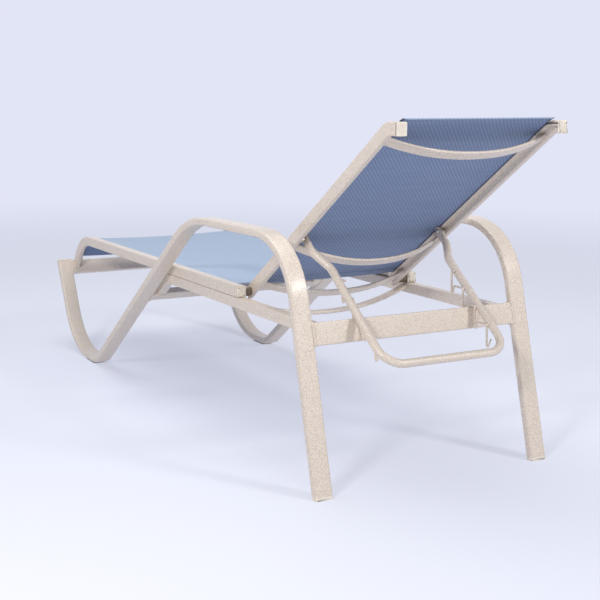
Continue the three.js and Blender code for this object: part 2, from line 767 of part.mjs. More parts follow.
function bailPath(start) {
  const left = [{ at: bailSpot(bailEyeCentre, start) }];
  for (let step = 1; step < squashSteps; step += 1) {
    const run = squashStart + (squashEnd - squashStart) * step / squashSteps;
    if (run > start) left.push({ at: bailSpot(bailEyeCentre, run) });
  }
  left.push({ at: bailSpot(bailEyeCentre, squashEnd), bend: jogBend });
  left.push({ at: bailSpot(bailLegCentre, jogEnd), bend: jogBend });
  left.push({ at: bailSpot(bailLegCentre, bailLength), bend: bailBend });
  const flip = new THREE.Vector3(-1, 1, 1);
  const right = left.map(({ at: spot, bend }) => ({ at: spot.clone().multiply(flip), bend }));
  return bentPath([...left, ...right.reverse()], sweepStepAngle);
}

// The tube is pressed flat toward its two ends
function squashAt(point) {
  const run = point.clone().setX(0).sub(bailPivot).dot(bailDown);
  const share = THREE.MathUtils.smoothstep(run, squashStart, squashEnd);
  const flat = bailEyeThickness / (2 * bailRadius);
  return [THREE.MathUtils.lerp(flat, 1, share), THREE.MathUtils.lerp(squashSpreadShare, 1, share)];
}

function bailEye() {
  const shape = new THREE.Shape();
  shape.absarc(0, 0, bailEyeRadius, Math.PI / 2, -Math.PI / 2, false);
  shape.lineTo(bailEyeRun, -bailEyeRadius);
  shape.lineTo(bailEyeRun, bailEyeRadius);
  const plate = new THREE.ExtrudeGeometry(shape, { depth: bailEyeThickness, bevelEnabled: false, curveSegments: eyeSteps });
  plate.translate(0, 0, -bailEyeThickness / 2);
  const across = bailDown.clone().cross(acrossX).negate();
  plate.applyMatrix4(new THREE.Matrix4().makeBasis(bailDown, across, bailDown.clone().cross(across)));
  return toGeometry(toSolid(plate.translate(bailEyeCentre, bailPivot.y, bailPivot.z)));
}

function bailTube() {
  const skin = { across: acrossX, scaleAt: squashAt };
  const solid = sweep(bailPath(squashStart), roundOutline(bailRadius, bailSides), skin);
  const hollow = sweep(bailPath(voidStart), roundOutline(bailRadius - bailWall, bailSides), skin);
  const drain = new THREE.CylinderGeometry(drainRadius, drainRadius, 2 * bailRadius, turnedSides)
    .rotateX(Math.PI / 2).translate(0, bailFoot.y, bailFoot.z - bailRadius);
  const eye = bailEye();
  const drill = bore(bailPivot, bailShank + boreClearance, -overallWidth, overallWidth);
  return cut(joined(solid, eye, mirrored(eye)), hollow, drain, drill);
}

// Rack: each strip runs down to a narrow tooth, up to the seat of its notch and on to the next strip.
// The notch in use lies on the rear crossbar's top edge.
function rack() {
  const cornerAt = (tooth) => restingCorner.clone().addScaledVector(bailDown, rackPitch * (tooth - restingTooth));
  const corners = [{ at: cornerAt(1).add(at(rackLead, 0)) }, { at: cornerAt(1), bend: wireBend }];
  for (let tooth = 1; tooth <= rackTeeth; tooth += 1) {
    const tip = cornerAt(tooth).add(at(toothLean, -toothDepth));
    const heel = tip.clone().add(at(toothWidth, 0));
    const next = cornerAt(tooth + 1);
    corners.push({ at: tip, bend: wireBend }, { at: heel, bend: wireBend });
    if (tooth < rackTeeth) {
      corners.push({ at: at(next.y - notchSeat, next.z), bend: wireBend }, { at: next, bend: wireBend });
    } else {
      corners.push({ at: tip.clone().add(at(tailRun, tailRise)) });
    }
  }
  const bar = sweep(bentPath(corners, wireStepAngle), roundOutline(wireRadius, wireSides), { across: acrossX });
  return shifted(bar, bailLegCentre - bailRadius - wireRadius - rackGap);
}

addNode('bail_tube', bailTube(), sandCoat);
addPair('rack', rack(), sandCoat);

// The origin moves under the middle of the whole lounge
const bounds = new THREE.Box3().setFromObject(lounge, true);
lounge.position.y = -(bounds.min.y + bounds.max.y) / 2;
lounge.updateMatrixWorld(true);

export default lounge;
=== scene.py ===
# %% [markdown]
# This lesson dresses a sling chaise lounge: a patio lounger with bent flat-tube side frames, a
# woven sling seat and a hinged sling back. We add the cloth, the welds, the smooth bends and the
# finishes on top of them.

# %% Load the frame
import json
import math

import bpy
from mathutils import Matrix, Vector


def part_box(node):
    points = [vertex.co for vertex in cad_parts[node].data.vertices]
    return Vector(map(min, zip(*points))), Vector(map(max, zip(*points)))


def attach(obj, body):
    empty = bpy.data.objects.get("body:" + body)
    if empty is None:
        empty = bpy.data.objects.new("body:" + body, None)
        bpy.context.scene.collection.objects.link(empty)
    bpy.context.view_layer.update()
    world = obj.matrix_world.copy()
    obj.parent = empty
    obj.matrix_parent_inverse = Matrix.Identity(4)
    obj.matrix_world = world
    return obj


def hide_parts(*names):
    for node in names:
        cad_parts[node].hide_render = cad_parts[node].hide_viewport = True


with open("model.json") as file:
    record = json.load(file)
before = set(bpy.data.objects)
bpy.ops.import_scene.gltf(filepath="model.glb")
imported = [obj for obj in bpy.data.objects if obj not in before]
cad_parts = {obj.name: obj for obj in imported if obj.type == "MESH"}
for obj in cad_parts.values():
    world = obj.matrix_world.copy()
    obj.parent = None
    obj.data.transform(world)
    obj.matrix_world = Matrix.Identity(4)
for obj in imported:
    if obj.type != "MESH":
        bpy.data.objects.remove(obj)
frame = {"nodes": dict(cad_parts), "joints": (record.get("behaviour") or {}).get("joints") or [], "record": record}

scene = bpy.context.scene
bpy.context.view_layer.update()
nodes = frame["nodes"]
body_of_node = {
    node: body for body, names in frame["record"]["behaviour"]["bodies"].items() for node in names
}
slot_of_node = {part["node"]: part["material_slot"] for part in frame["record"]["subparts"]}
place_of_joint = {joint["name"]: Vector(joint["pos_m"]) for joint in frame["joints"]}

# %% [markdown]
# The camera stands behind the head end, on the sitter's left, a little higher than the top of the
# back. A camera is set by its place, the point that it looks at, its roll and its lens, so we build
# the rotation from three axes at right angles. That keeps the roll exact, which a Track To
# constraint can't do.

# %% Camera
camera_place = Vector((1.5386, 2.84346, 0.89325))
camera_target = Vector((0.0, 0.15463, 0.300))
camera_roll = math.radians(0.84)
focal_pixels = 1188.76
frame_pixels = 600
sensor_width = 36.0

forward = (camera_target - camera_place).normalized()
level_right = forward.cross(Vector((0, 0, 1))).normalized()
level_up = level_right.cross(forward)
image_right = level_right * math.cos(camera_roll) + level_up * math.sin(camera_roll)
image_up = image_right.cross(forward)
camera_turn = Matrix((image_right, image_up, -forward)).transposed().to_4x4()
camera_data = bpy.data.cameras.new("camera")
camera_data.sensor_width = sensor_width
camera_data.lens = focal_pixels / frame_pixels * sensor_width
camera = bpy.data.objects.new("camera", camera_data)
camera.matrix_world = Matrix.Translation(camera_place) @ camera_turn
scene.collection.objects.link(camera)
scene.camera = camera
scene.view_settings.view_transform = "Standard"
print("lens", round(camera_data.lens, 2))

# %% [markdown]
# A material is a small program of nodes. Written one node at a time it is hard to read, so one class
# wraps a socket and lets us write sums on it, and a second makes any other node from its type, its
# settings and its inputs. Patterns then read like the formulas that they are. A finish is such a
# maker with a new material round it, and the light of the surroundings uses the plain maker.

# %% Node helpers
# The Mix node has sockets for every kind of value, so the ones for colours are found by number.
mix_inputs = (0, 6, 7)
mix_result = 2
srgb_levels = 255
srgb_toe, srgb_slope, srgb_lift, srgb_power = 0.04045, 12.92, 0.055, 2.4


class Value:
    def __init__(self, maker, socket):
        self.maker = maker
        self.socket = socket

    def math(self, operation, *others):
        return self.maker.node("ShaderNodeMath", {"operation": operation}, self, *others)

    def __add__(self, other):
        return self.math("ADD", other)

    def __sub__(self, other):
        return self.math("SUBTRACT", other)

    def __mul__(self, other):
        return self.math("MULTIPLY", other)

    def __rsub__(self, other):
        return self.maker.node("ShaderNodeMath", {"operation": "SUBTRACT"}, other, self)

    __radd__ = __add__
    __rmul__ = __mul__

    def step(self, low, high):
        settings = {"interpolation_type": "SMOOTHSTEP"}
        return self.maker.node("ShaderNodeMapRange", settings, self, low, high, 0.0, 1.0)

    def wave(self):
        return self.math("SINE") * 0.5 + 0.5


class NodeMaker:
    def __init__(self, tree):
        self.tree = tree

    def put(self, socket, value):
        if isinstance(value, Value):
            self.tree.links.new(value.socket, socket)
        else:
            socket.default_value = value

    def node(self, kind, settings, *values, output=0, **named):
        made = self.tree.nodes.new(kind)
        for key, value in settings.items():
            setattr(made, key, value)
        for socket, value in zip(made.inputs, values):
            self.put(socket, value)
        for key, value in named.items():
            self.put(made.inputs[key.replace("_", " ")], value)
        return Value(self, made.outputs[output])

    def noise(self, where, scale, detail):
        return self.node("ShaderNodeTexNoise", {}, Vector=where, Scale=scale, Detail=detail)

    def blend(self, share, first, second):
        mixed = self.tree.nodes.new("ShaderNodeMix")
        mixed.data_type = "RGBA"
        for index, value in zip(mix_inputs, (share, first, second)):
            self.put(mixed.inputs[index], value)
        return Value(self, mixed.outputs[mix_result])

    def bump(self, height, distance, strength):
        return self.node("ShaderNodeBump", {}, Height=height, Distance=distance, Strength=strength)

    def object_place(self):
        return self.node("ShaderNodeTexCoord", {}, output="Object")


class Finish(NodeMaker):
    def __init__(self, name, **constants):
        self.material = bpy.data.materials.new(name)
        self.material.use_nodes = True
        super().__init__(self.material.node_tree)
        self.shader = self.tree.nodes["Principled BSDF"]
        for socket, value in constants.items():
            self.shader.inputs[socket.replace("_", " ")].default_value = value

    def set(self, socket, value):
        self.put(self.shader.inputs[socket], value)


def colour(red, green, blue):
    def linear(level):
        share = level / srgb_levels
        if share <= srgb_toe:
            return share / srgb_slope
        return ((share + srgb_lift) / (1 + srgb_lift)) ** srgb_power
    return (linear(red), linear(green), linear(blue), 1.0)


print("helpers", Value.__name__, NodeMaker.__name__, Finish.__name__)

# %% [markdown]
# The frame wears a textured powder coat: sand-coloured, half gloss, with fine darker grains baked
# into it and a faint orange-peel skin. Two noises give the grains, one of about two millimetres
# and one of about one. They also roughen the gloss, so that highlights break up as on the real
# tube. A noise's scale counts its spots in a metre, and a range says between which of its levels
# a pattern fades in.

# %% Powder coat
coat_weight, coat_roughness = 0.42, 0.26
coarse_scale, coarse_detail, coarse_range, coarse_share = 450.0, 3.0, (0.40, 0.64), 0.62
fine_scale, fine_detail, fine_range, fine_share = 900.0, 2.0, (0.44, 0.64), 0.38
drift_scale, drift_detail = 9.0, 1.0
grain_strength, speck_strength = 0.85, 0.32
even_roughness, grain_roughness, drift_roughness = 0.32, 0.14, 0.08
peel_scale, peel_detail, grain_relief = 420.0, 1.0, 0.5
peel_depth, peel_strength = 0.00022, 0.55


def powder_coat(name, pale, grain, speck):
    coat = Finish(name, Coat_Weight=coat_weight, Coat_Roughness=coat_roughness)
    place = coat.object_place()
    coarse = coat.noise(place, coarse_scale, coarse_detail).step(*coarse_range)
    fine = coat.noise(place, fine_scale, fine_detail).step(*fine_range)
    drift = coat.noise(place, drift_scale, drift_detail)
    grains = coarse * coarse_share + fine * fine_share
    base = coat.blend(grains * grain_strength, pale, grain)
    coat.set("Base Color", coat.blend(fine * coarse * speck_strength, base, speck))
    coat.set("Roughness", even_roughness + grains * grain_roughness + drift * drift_roughness)
    peel = coat.noise(place, peel_scale, peel_detail) + grains * grain_relief
    coat.set("Normal", coat.bump(peel, peel_depth, peel_strength))
    return coat.material


sand_coat = powder_coat("sand_powder_coat", pale=colour(231, 219, 205),
                        grain=colour(196, 179, 162), speck=colour(138, 120, 105))
print("material", sand_coat.name)

# %% [markdown]
# The caps are moulded in the frame's own colour but have no grain. Moulded plastic is never quite
# even: a soft cloud in the colour and a fine satin skin are enough. The glides are a dark plastic of
# the same kind, whose dark also stands for the contact shadow under the feet. The hinge spacers are
# a brown one, painted shade for the gap round the hinge bolt, and the splines a blue-grey one, so
# one maker that takes two colours and a roughness serves them all.

# %% Moulded plastics
plastic_gloss = 0.4
cloud_scale, cloud_detail, cloud_range = 60.0, 3.0, (0.35, 0.7)
satin_scale, satin_detail, satin_roughness = 900.0, 2.0, 0.12
satin_depth, satin_strength = 0.0001, 0.35
cap_roughness, dull_roughness = 0.42, 0.5


def moulded(name, light, dark, roughness):
    plastic = Finish(name, Specular_IOR_Level=plastic_gloss)
    place = plastic.object_place()
    cloud = plastic.noise(place, cloud_scale, cloud_detail)
    satin = plastic.noise(place, satin_scale, satin_detail)
    plastic.set("Base Color", plastic.blend(cloud.step(*cloud_range), light, dark))
    plastic.set("Roughness", roughness + satin * satin_roughness)
    plastic.set("Normal", plastic.bump(satin, satin_depth, satin_strength))
    return plastic.material


cap_plastic = moulded("cap_plastic", colour(233, 225, 211), colour(223, 212, 195), cap_roughness)
# The glides are real, and their dark colour also paints the contact shadow under the feet.
dark_glide_and_contact_shade = moulded("dark_glide_and_contact_shade", colour(74, 70, 66), colour(92, 86, 80), dull_roughness)
# The hinge spacers' brown is painted shade for the gap round the hinge bolt.
shaded_spacer_plastic = moulded("shaded_spacer_plastic", colour(120, 106, 88), colour(98, 85, 70),
                         dull_roughness)
spline_plastic = moulded("spline_plastic", colour(88, 96, 112), colour(72, 80, 98),
                         dull_roughness)
print("materials", cap_plastic.name, dark_glide_and_contact_shade.name, shaded_spacer_plastic.name, spline_plastic.name)

# %% [markdown]
# The bolts and nuts are steel with a thin coat of zinc. It is metal all over, with a fine grain that
# breaks up the gloss and a faint stain where weather has dulled it. The same stain darkens the
# colour and takes away the shine, because real dirt does both at once.

# %% Zinc-plated steel
plating_scale, plating_detail, plating_roughness = 1400.0, 2.0, 0.14
plating_depth, plating_strength = 0.00005, 0.3
stain_scale, stain_detail, stain_range, stain_roughness = 130.0, 4.0, (0.45, 0.75), 0.15
bright_roughness = 0.28


def plated_steel(name, bright, stained):
    steel = Finish(name, Metallic=1.0)
    place = steel.object_place()
    grain = steel.noise(place, plating_scale, plating_detail)
    stain = steel.noise(place, stain_scale, stain_detail).step(*stain_range)
    steel.set("Base Color", steel.blend(stain, bright, stained))
    steel.set("Roughness", bright_roughness + grain * plating_roughness + stain * stain_roughness)
    steel.set("Normal", steel.bump(grain, plating_depth, plating_strength))
    return steel.material


zinc_steel = plated_steel("zinc_plated_steel", colour(196, 194, 186), colour(150, 144, 132))
print("material", zinc_steel.name)

# %% [markdown]
# The sling is a mesh woven from vinyl-coated yarn. Seen from a step away it shows slanting ribs
# about seven millimetres apart, which a second set, slanting the other way, breaks into beads. Close
# up each rib is a row of short crossing yarns, and faint streaks run across the cloth where it is
# stretched. The cloth has a UV map in metres, so the pattern follows the cloth round its bends at
# its true size. The faces of the cloth that point down get darker blues: that is painted shade for
# the underside that the lamps don't reach, and a mark on each face says which side it is. The thread
# of the seams is plain plastic yarn. The welts along the edges are dark yarn, and their dark colour
# is also painted shade of the grooves.

# %% Woven sling
full_turn = 2 * math.pi
rib_pitch = 0.00725
rib_slant = math.radians(41.5)
bead_pitch = 0.0062
bead_share = 0.28
yarn_pitch = 0.0021
gap_range = (0.0, 0.42)
wander_scale, wander_detail, rib_wander, bead_wander = 45.0, 2.0, 0.9, 2.2
slub_scale, slub_detail, slub_range, slub_strength = 320.0, 3.0, (0.35, 0.75), 0.22
streak_scale, streak_detail, streak_range, streak_strength = 60.0, 4.0, (0.35, 0.7), 0.4
streak_stretch = (0.12, 1.0, 1.0)
yarn_roughness, slub_roughness, rib_roughness = 0.52, 0.16, 0.08
check_relief, rib_relief, slub_relief = 0.6, 0.5, 0.15
weave_depth, weave_strength = 0.00045, 0.7
sewn_roughness = 0.6


def slanted(across, along, pitch, slant):
    return across * (math.cos(slant) / pitch) + along * (math.sin(slant) / pitch)


def woven_sling(name, face, reverse):
    cloth = Finish(name, Sheen_Weight=0.15, Sheen_Roughness=0.45, Specular_IOR_Level=0.35)
    # Faces that point down take the darker blues: painted shade for the cloth's underside.
    side = cloth.node("ShaderNodeAttribute", {"attribute_name": "reverse"}, output="Fac")
    light, dark, deep = (cloth.blend(side, *pair) for pair in zip(face, reverse))
    uv = cloth.node("ShaderNodeUVMap", {"uv_map": "cloth"})
    across, along = (cloth.node("ShaderNodeSeparateXYZ", {}, uv, output=axis) for axis in "XY")
    wander = cloth.noise(uv, wander_scale, wander_detail)
    bead_turns = slanted(across, along, bead_pitch, -rib_slant) * full_turn
    rib_turns = slanted(across, along, rib_pitch, rib_slant) * full_turn
    beads = (bead_turns + wander * bead_wander).wave()
    ribs = (rib_turns + wander * rib_wander).wave() * ((1 - bead_share) + beads * bead_share)
    warp = (across * (full_turn / yarn_pitch)).math("SINE")
    weft = (along * (full_turn / yarn_pitch)).math("SINE")
    checks = warp * weft * 0.5 + 0.5
    slub = cloth.noise(uv, slub_scale, slub_detail)
    stretched = cloth.node("ShaderNodeVectorMath", {"operation": "MULTIPLY"}, uv, streak_stretch)
    streaks = cloth.noise(stretched, streak_scale, streak_detail).step(*streak_range)
    woven = cloth.blend(checks.step(*gap_range), deep, cloth.blend(ribs, dark, light))
    slubbed = cloth.blend(slub.step(*slub_range) * slub_strength, woven, light)
    cloth.set("Base Color", cloth.blend(streaks * streak_strength, slubbed, dark))
    cloth.set("Roughness", yarn_roughness + slub * slub_roughness - ribs * rib_roughness)
    relief = checks * check_relief + ribs * rib_relief + slub * slub_relief
    cloth.set("Normal", cloth.bump(relief, weave_depth, weave_strength))
    return cloth.material


face_blues = (colour(178, 195, 215), colour(148, 168, 194), colour(118, 138, 169))
hem_blues = (colour(172, 190, 211), colour(146, 166, 192), colour(122, 142, 172))
# The darker blues are painted shade for the faces that point down, not another dye.
underside_shade_blues = (colour(138, 157, 189), colour(105, 124, 159), colour(74, 91, 126))
blue_sling = woven_sling("blue_woven_sling", face_blues, underside_shade_blues)
hem_sling = woven_sling("hemmed_sling", hem_blues, underside_shade_blues)
thread = moulded("stitching_thread", colour(160, 178, 206), colour(138, 156, 188),
                 sewn_roughness)
# The welts' dark navy is painted shade of the grooves, laid on a real edge welt.
welt_with_groove_shade = moulded("welt_with_groove_shade", colour(64, 76, 104), colour(50, 60, 86), sewn_roughness)
print("materials", blue_sling.name, hem_sling.name, thread.name, welt_with_groove_shade.name)

# %% [markdown]
# Every solid of the frame is right in shape, but its bends are facets. A coated copy of each is
# merged at its corners and shaded smooth, with weighted normals so that the flat faces stay flat.
# The copy then stands for its solid. This keeps every size and gives soft bends for the highlights.
# The plugs in the rear ends of the rails bulge a little, so two insets raise a low dome on each.
# The solids of the slings wear the cloth's finish until the sheets replace them.

# %% Coated copies of the frame
finish_of_slot = {
    "frame_coat": sand_coat,
    "cap_plastic": cap_plastic,
    # The dark glides also stand in for the contact shadow under the feet.
    "glide_plastic": dark_glide_and_contact_shade,
    "plated_steel": zinc_steel,
    "spline_plastic": spline_plastic,
}
merge_distance = 0.00001
smooth_angle = math.radians(50)
dome_rings = 2
dome_inset = 0.004
dome_rise = 0.0012
square_to_rear = 0.99


def only(piece):
    bpy.ops.object.select_all(action="DESELECT")
    piece.select_set(True)
    bpy.context.view_layer.objects.active = piece


def settle(piece, body, finish):
    piece.data.materials.clear()
    piece.data.materials.append(finish)
    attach(piece, body)


def apply_all(piece):
    only(piece)
    for modifier in list(piece.modifiers):
        bpy.ops.object.modifier_apply(modifier=modifier.name)


def smoothed(piece):
    only(piece)
    bpy.ops.object.shade_smooth_by_angle(angle=smooth_angle)
    weighted = piece.modifiers.new("weighted", "WEIGHTED_NORMAL")
    weighted.keep_sharp = True
    apply_all(piece)


def coated_copy(node):
    piece = bpy.data.objects.new(f"{node}_finished", nodes[node].data.copy())
    scene.collection.objects.link(piece)
    only(piece)
    bpy.ops.object.mode_set(mode="EDIT")
    bpy.ops.mesh.select_all(action="SELECT")
    bpy.ops.mesh.remove_doubles(threshold=merge_distance)
    bpy.ops.object.mode_set(mode="OBJECT")
    smoothed(piece)
    slot = slot_of_node[node]
    # Hinge spacers take the brown of painted shade rather than the sand coat.
    finish = shaded_spacer_plastic if node.endswith("hinge_spacer") else finish_of_slot[slot]
    settle(piece, body_of_node[node], finish)
    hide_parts(node)
    return piece


def domed(piece):
    rear = max(vertex.co.y for vertex in piece.data.vertices)
    only(piece)
    for polygon in piece.data.polygons:
        at_rear = polygon.center.y > rear - merge_distance
        polygon.select = at_rear and polygon.normal.y > square_to_rear
    bpy.ops.object.mode_set(mode="EDIT")
    bpy.ops.mesh.select_mode(type="FACE")
    for _ in range(dome_rings):
        bpy.ops.mesh.inset(thickness=dome_inset, use_even_offset=True)
        bpy.ops.transform.translate(value=(0, dome_rise, 0))
    bpy.ops.object.mode_set(mode="OBJECT")
    smoothed(piece)


coated_nodes = [node for node in sorted(nodes) if slot_of_node[node] != "sling_mesh"]
for node in coated_nodes:
    piece = coated_copy(node)
    if node.endswith("end_plug"):
        domed(piece)
for node in ("seat_sling", "back_sling"):
    nodes[node].data.materials.clear()
    nodes[node].data.materials.append(blue_sling)
print("coated copies", len(coated_nodes))

# %% [markdown]
# Welds and seams are both a rope of even lumps along a line. A circle of edges is laid along the
# line, turned into a curve, given a round section whose radius pulses, and turned back into a mesh.
# A curve needs only a radius at each point, so one helper makes beads, stitches and welts. A line
# is a list of points. Its place function gives the point at a distance along it, and the
# direction that stands square on the line and points up.

# %% Ropes along a line
fewest_spots = 4
length_slack = 1e-9


def along_line(line):
    lengths = [0.0]
    for first, second in zip(line, line[1:]):
        lengths.append(lengths[-1] + (second - first).length)

    def place(distance):
        reached = min(max(distance, 0.0), lengths[-1])
        index = max(i for i in range(len(line) - 1) if lengths[i] <= reached + length_slack)
        share = (reached - lengths[index]) / (lengths[index + 1] - lengths[index])
        spot = line[index].lerp(line[index + 1], share)
        run = (line[index + 1] - line[index]).normalized()
        return spot, Vector((0, -run.z, run.y)) * (-1 if run.y < 0 else 1)
    return place, lengths[-1]


def even_spots(line, spacing):
    place, total = along_line(line)
    count = max(fewest_spots, round(total / spacing))
    return [place(total * i / count)[0] for i in range(count)]


def rope(name, spots, radii, closed, roundness):
    bpy.ops.object.select_all(action="DESELECT")
    bpy.ops.mesh.primitive_circle_add(vertices=len(spots), radius=1)
    piece = bpy.context.object
    piece.name = name
    for vertex, spot in zip(piece.data.vertices, spots):
        vertex.co = spot
    if not closed:
        last = len(spots) - 1
        for edge in piece.data.edges:
            edge.select = set(edge.vertices) == {0, last}
        bpy.ops.object.mode_set(mode="EDIT")
        bpy.ops.mesh.select_mode(type="EDGE")
        bpy.ops.mesh.delete(type="EDGE")
        bpy.ops.object.mode_set(mode="OBJECT")
    bpy.ops.object.convert(target="CURVE")
    piece = bpy.context.object
    piece.data.bevel_depth = 1.0
    piece.data.bevel_resolution = roundness
    piece.data.use_fill_caps = True
    for i, point in enumerate(piece.data.splines[0].points):
        point.radius = radii[i % len(radii)]
    bpy.ops.object.convert(target="MESH")
    piece = bpy.context.object
    bpy.ops.object.shade_smooth()
    return piece


def joined(name, pieces, body, slot, finish):
    bpy.ops.object.select_all(action="DESELECT")
    for piece in pieces:
        piece.select_set(True)
    bpy.context.view_layer.objects.active = pieces[0]
    bpy.ops.object.join()
    whole = bpy.context.object
    whole.name = name
    settle(whole, body, finish)
    return whole


print("helpers", along_line.__name__, even_spots.__name__, rope.__name__, joined.__name__)

# %% [markdown]
# A weld bead runs round the outline of a bar's end, which we read from the end face of its solid:
# the corners in the plane of that face are wrapped in a hull, the tightest loop round them. Typed
# places would leave the beads in the air when a bar changes its size. Each rack is a bent rod that
# is only tacked to the leg of the bail, with a short bead at each of its notches.

# %% Weld beads
weld_step = 0.0022
weld_ripple = 0.12
quick_ripple, slow_ripple = 2.1, 0.53
bar_bead = 0.0032
spreader_bead = 0.0018
bead_roundness = 1
face_tolerance = 0.00005
facing_digits, place_digits = 3, 6
left_and_right = ((1, 0, 0), (-1, 0, 0))
head_and_foot = ((0, 1, 0), (0, -1, 0))


def turns_left(start, middle, end):
    return ((middle[0] - start[0]) * (end[1] - start[1])
            - (middle[1] - start[1]) * (end[0] - start[0])) > 0


def hull(points):
    points = sorted(points)

    def half(order):
        chain = []
        for point in order:
            while len(chain) > 1 and not turns_left(chain[-2], chain[-1], point):
                chain.pop()
            chain.append(point)
        return chain[:-1]
    return half(points) + half(points[::-1])


def end_outline(node, toward):
    mesh = nodes[node].data
    toward = Vector(toward)

    def nearness(face):
        return round(face.normal.dot(toward), facing_digits), face.center.dot(toward)

    end_face = max(mesh.polygons, key=nearness)
    normal = end_face.normal.normalized()
    level = end_face.center.dot(normal)
    side = normal.orthogonal().normalized()
    rise = normal.cross(side)
    flat = {(round(vertex.co.dot(side), place_digits), round(vertex.co.dot(rise), place_digits))
            for vertex in mesh.vertices if abs(vertex.co.dot(normal) - level) < face_tolerance}
    corners = [side * u + rise * v + normal * level for u, v in hull(flat)]
    return corners + corners[:1]


def weld(node, toward, radius):
    spots = even_spots(end_outline(node, toward), weld_step)
    radii = [radius * (1 + weld_ripple * math.sin(quick_ripple * i)
                       + weld_ripple * math.sin(slow_ripple * i)) for i in range(len(spots))]
    return rope(f"{node}_weld", spots, radii, True, bead_roundness)


frame_welds = [weld(f"{bar}_crossbar", side, bar_bead)
               for bar in ("front", "middle", "rear") for side in left_and_right]
frame_welds += [weld("seat_spreader", side, spreader_bead) for side in left_and_right]
frame_welds += [weld(f"{hand}_lower_rail", end, bar_bead)
                for hand in ("left", "right") for end in head_and_foot]
back_welds = [weld(f"back_{level}_spreader", side, spreader_bead)
              for level in ("top", "middle", "bottom") for side in left_and_right]

rack_reach = 0.1545
rack_pitch = 0.058
rack_notches = 4
first_tack_run = 0.13264
bail_down = Vector((0, 0.801735, -0.597679))
tack_length = 0.007
tack_bead = 0.0017
tack_shares = (0.5, 0.9, 1.0, 1.1, 1.0, 0.9, 0.5)


def tack(run, side):
    spot = place_of_joint["bail_swing"] + bail_down * run + Vector((side * rack_reach, 0, 0))
    line = [spot - bail_down * tack_length / 2, spot + bail_down * tack_length / 2]
    spots = even_spots(line, tack_length / (len(tack_shares) - 1)) + [line[1]]
    radii = [tack_bead * share for share in tack_shares]
    return rope("tack", spots, radii, False, bead_roundness)


bail_welds = [tack(first_tack_run + notch * rack_pitch, side)
              for notch in range(rack_notches) for side in (1, -1)]
joined("frame_welds", frame_welds, "frame", "frame_coat", sand_coat)
joined("back_welds", back_welds, "back", "frame_coat", sand_coat)
joined("bail_welds", bail_welds, "bail", "frame_coat", sand_coat)
print("welds", len(frame_welds) + len(back_welds) + len(bail_welds))

# %% [markdown]
# Each sling is one sheet that runs down the grooves of its two rails. We read that line from the
# sling's own solid: its corners lie in rings, and the middles of the rings, taken one after another
# from the rear, are the line. A flat grid then has its points moved onto the line, and its UV map
# keeps each point's place on the flat cloth. Solidify gives the sheet its thickness, because cloth
# without a wall would show no edge.

# %% Cloth grids
ring_reach = 0.0025
sheet_thickness = 0.0011
across_cells = 48
along_cell = 0.008
fewest_rows = 4


def middle_of(ring):
    return Vector((0, min(spot.y for spot in ring) + max(spot.y for spot in ring),
                   min(spot.z for spot in ring) + max(spot.z for spot in ring))) / 2


def groove_line(node):
    rings = []
    for spot in [vertex.co for vertex in nodes[node].data.vertices if vertex.co.x > 0]:
        for ring in rings:
            if (ring[0].yz - spot.yz).length < ring_reach:
                ring.append(spot)
                break
        else:
            rings.append([spot])
    middles = [middle_of(ring) for ring in rings]
    line = [max(middles, key=lambda middle: middle.y)]
    middles.remove(line[0])
    while middles:
        nearest = min(middles, key=lambda middle: (middle - line[-1]).length)
        middles.remove(nearest)
        line.append(nearest)
    return line


def thickened(piece, thickness):
    wall = piece.modifiers.new("wall", "SOLIDIFY")
    wall.thickness = thickness
    wall.offset = 0.0
    apply_all(piece)
    bpy.ops.object.shade_smooth_by_angle(angle=smooth_angle)
    # Faces that point down are marked, and the cloth's finish paints shade on them.
    underside_shade_mark = piece.data.attributes.new("reverse", "FLOAT", "FACE")
    for polygon in piece.data.polygons:
        underside_shade_mark.data[polygon.index].value = 1.0 if polygon.normal.z < 0 else 0.0


def sheet_grid(name, half_width, start, length, place, lift, thickness):
    rows = max(fewest_rows, math.ceil(length / along_cell))
    bpy.ops.object.select_all(action="DESELECT")
    bpy.ops.mesh.primitive_grid_add(x_subdivisions=across_cells, y_subdivisions=rows, size=2)
    piece = bpy.context.object
    piece.name = name
    piece.data.uv_layers[0].name = "cloth"
    flat = []
    for vertex in piece.data.vertices:
        share_across, share_along = vertex.co.x, (vertex.co.y + 1) / 2
        distance = start + share_along * length
        spot, normal = place(distance)
        across = share_across * half_width(distance)
        flat.append((across, distance))
        vertex.co = spot + normal * lift(share_across, distance) + Vector((across, 0, 0))
    for loop in piece.data.loops:
        piece.data.uv_layers["cloth"].data[loop.index].uv = flat[loop.vertex_index]
    if piece.data.polygons[0].normal.z < 0:
        piece.data.flip_normals()
    thickened(piece, thickness)
    return piece


print("helpers", groove_line.__name__, thickened.__name__, sheet_grid.__name__)

# %% [markdown]
# The side edges of a sling are held straight by the splines, and between them it dips a few
# millimetres under its own weight. The upper end of the back sling leaves its grooves and curls
# over. Each end of a sling has a hem underneath with two rows of stitches, which show on both
# sides. A welt lies along each rail where the cloth goes into it, and its dark colour is painted
# shade for the groove under the rail's lip.

# %% Sling sheets
seat_dip = 0.006
back_dip = 0.005
back_curl = 0.012
curl_run = 0.036
slot_tuck = 0.0028
end_ease = 0.10
front_dip_share = 0.6
hem_width = 0.024
hem_inset = 0.006
hem_drop = sheet_thickness * 1.05
hem_thickness = sheet_thickness * 0.9
seam_inset = 0.004
stitch_step = 0.0011
stitch_radii = (0.0001, 0.00042, 0.00046, 0.00042)
stitch_roundness = 0
welt_radius = 0.0015
welt_end = 0.004
welt_roundness = 1


def ramp(value, start, end):
    share = min(1.0, max(0.0, (value - start) / (end - start)))
    return share * share * (3 - 2 * share)


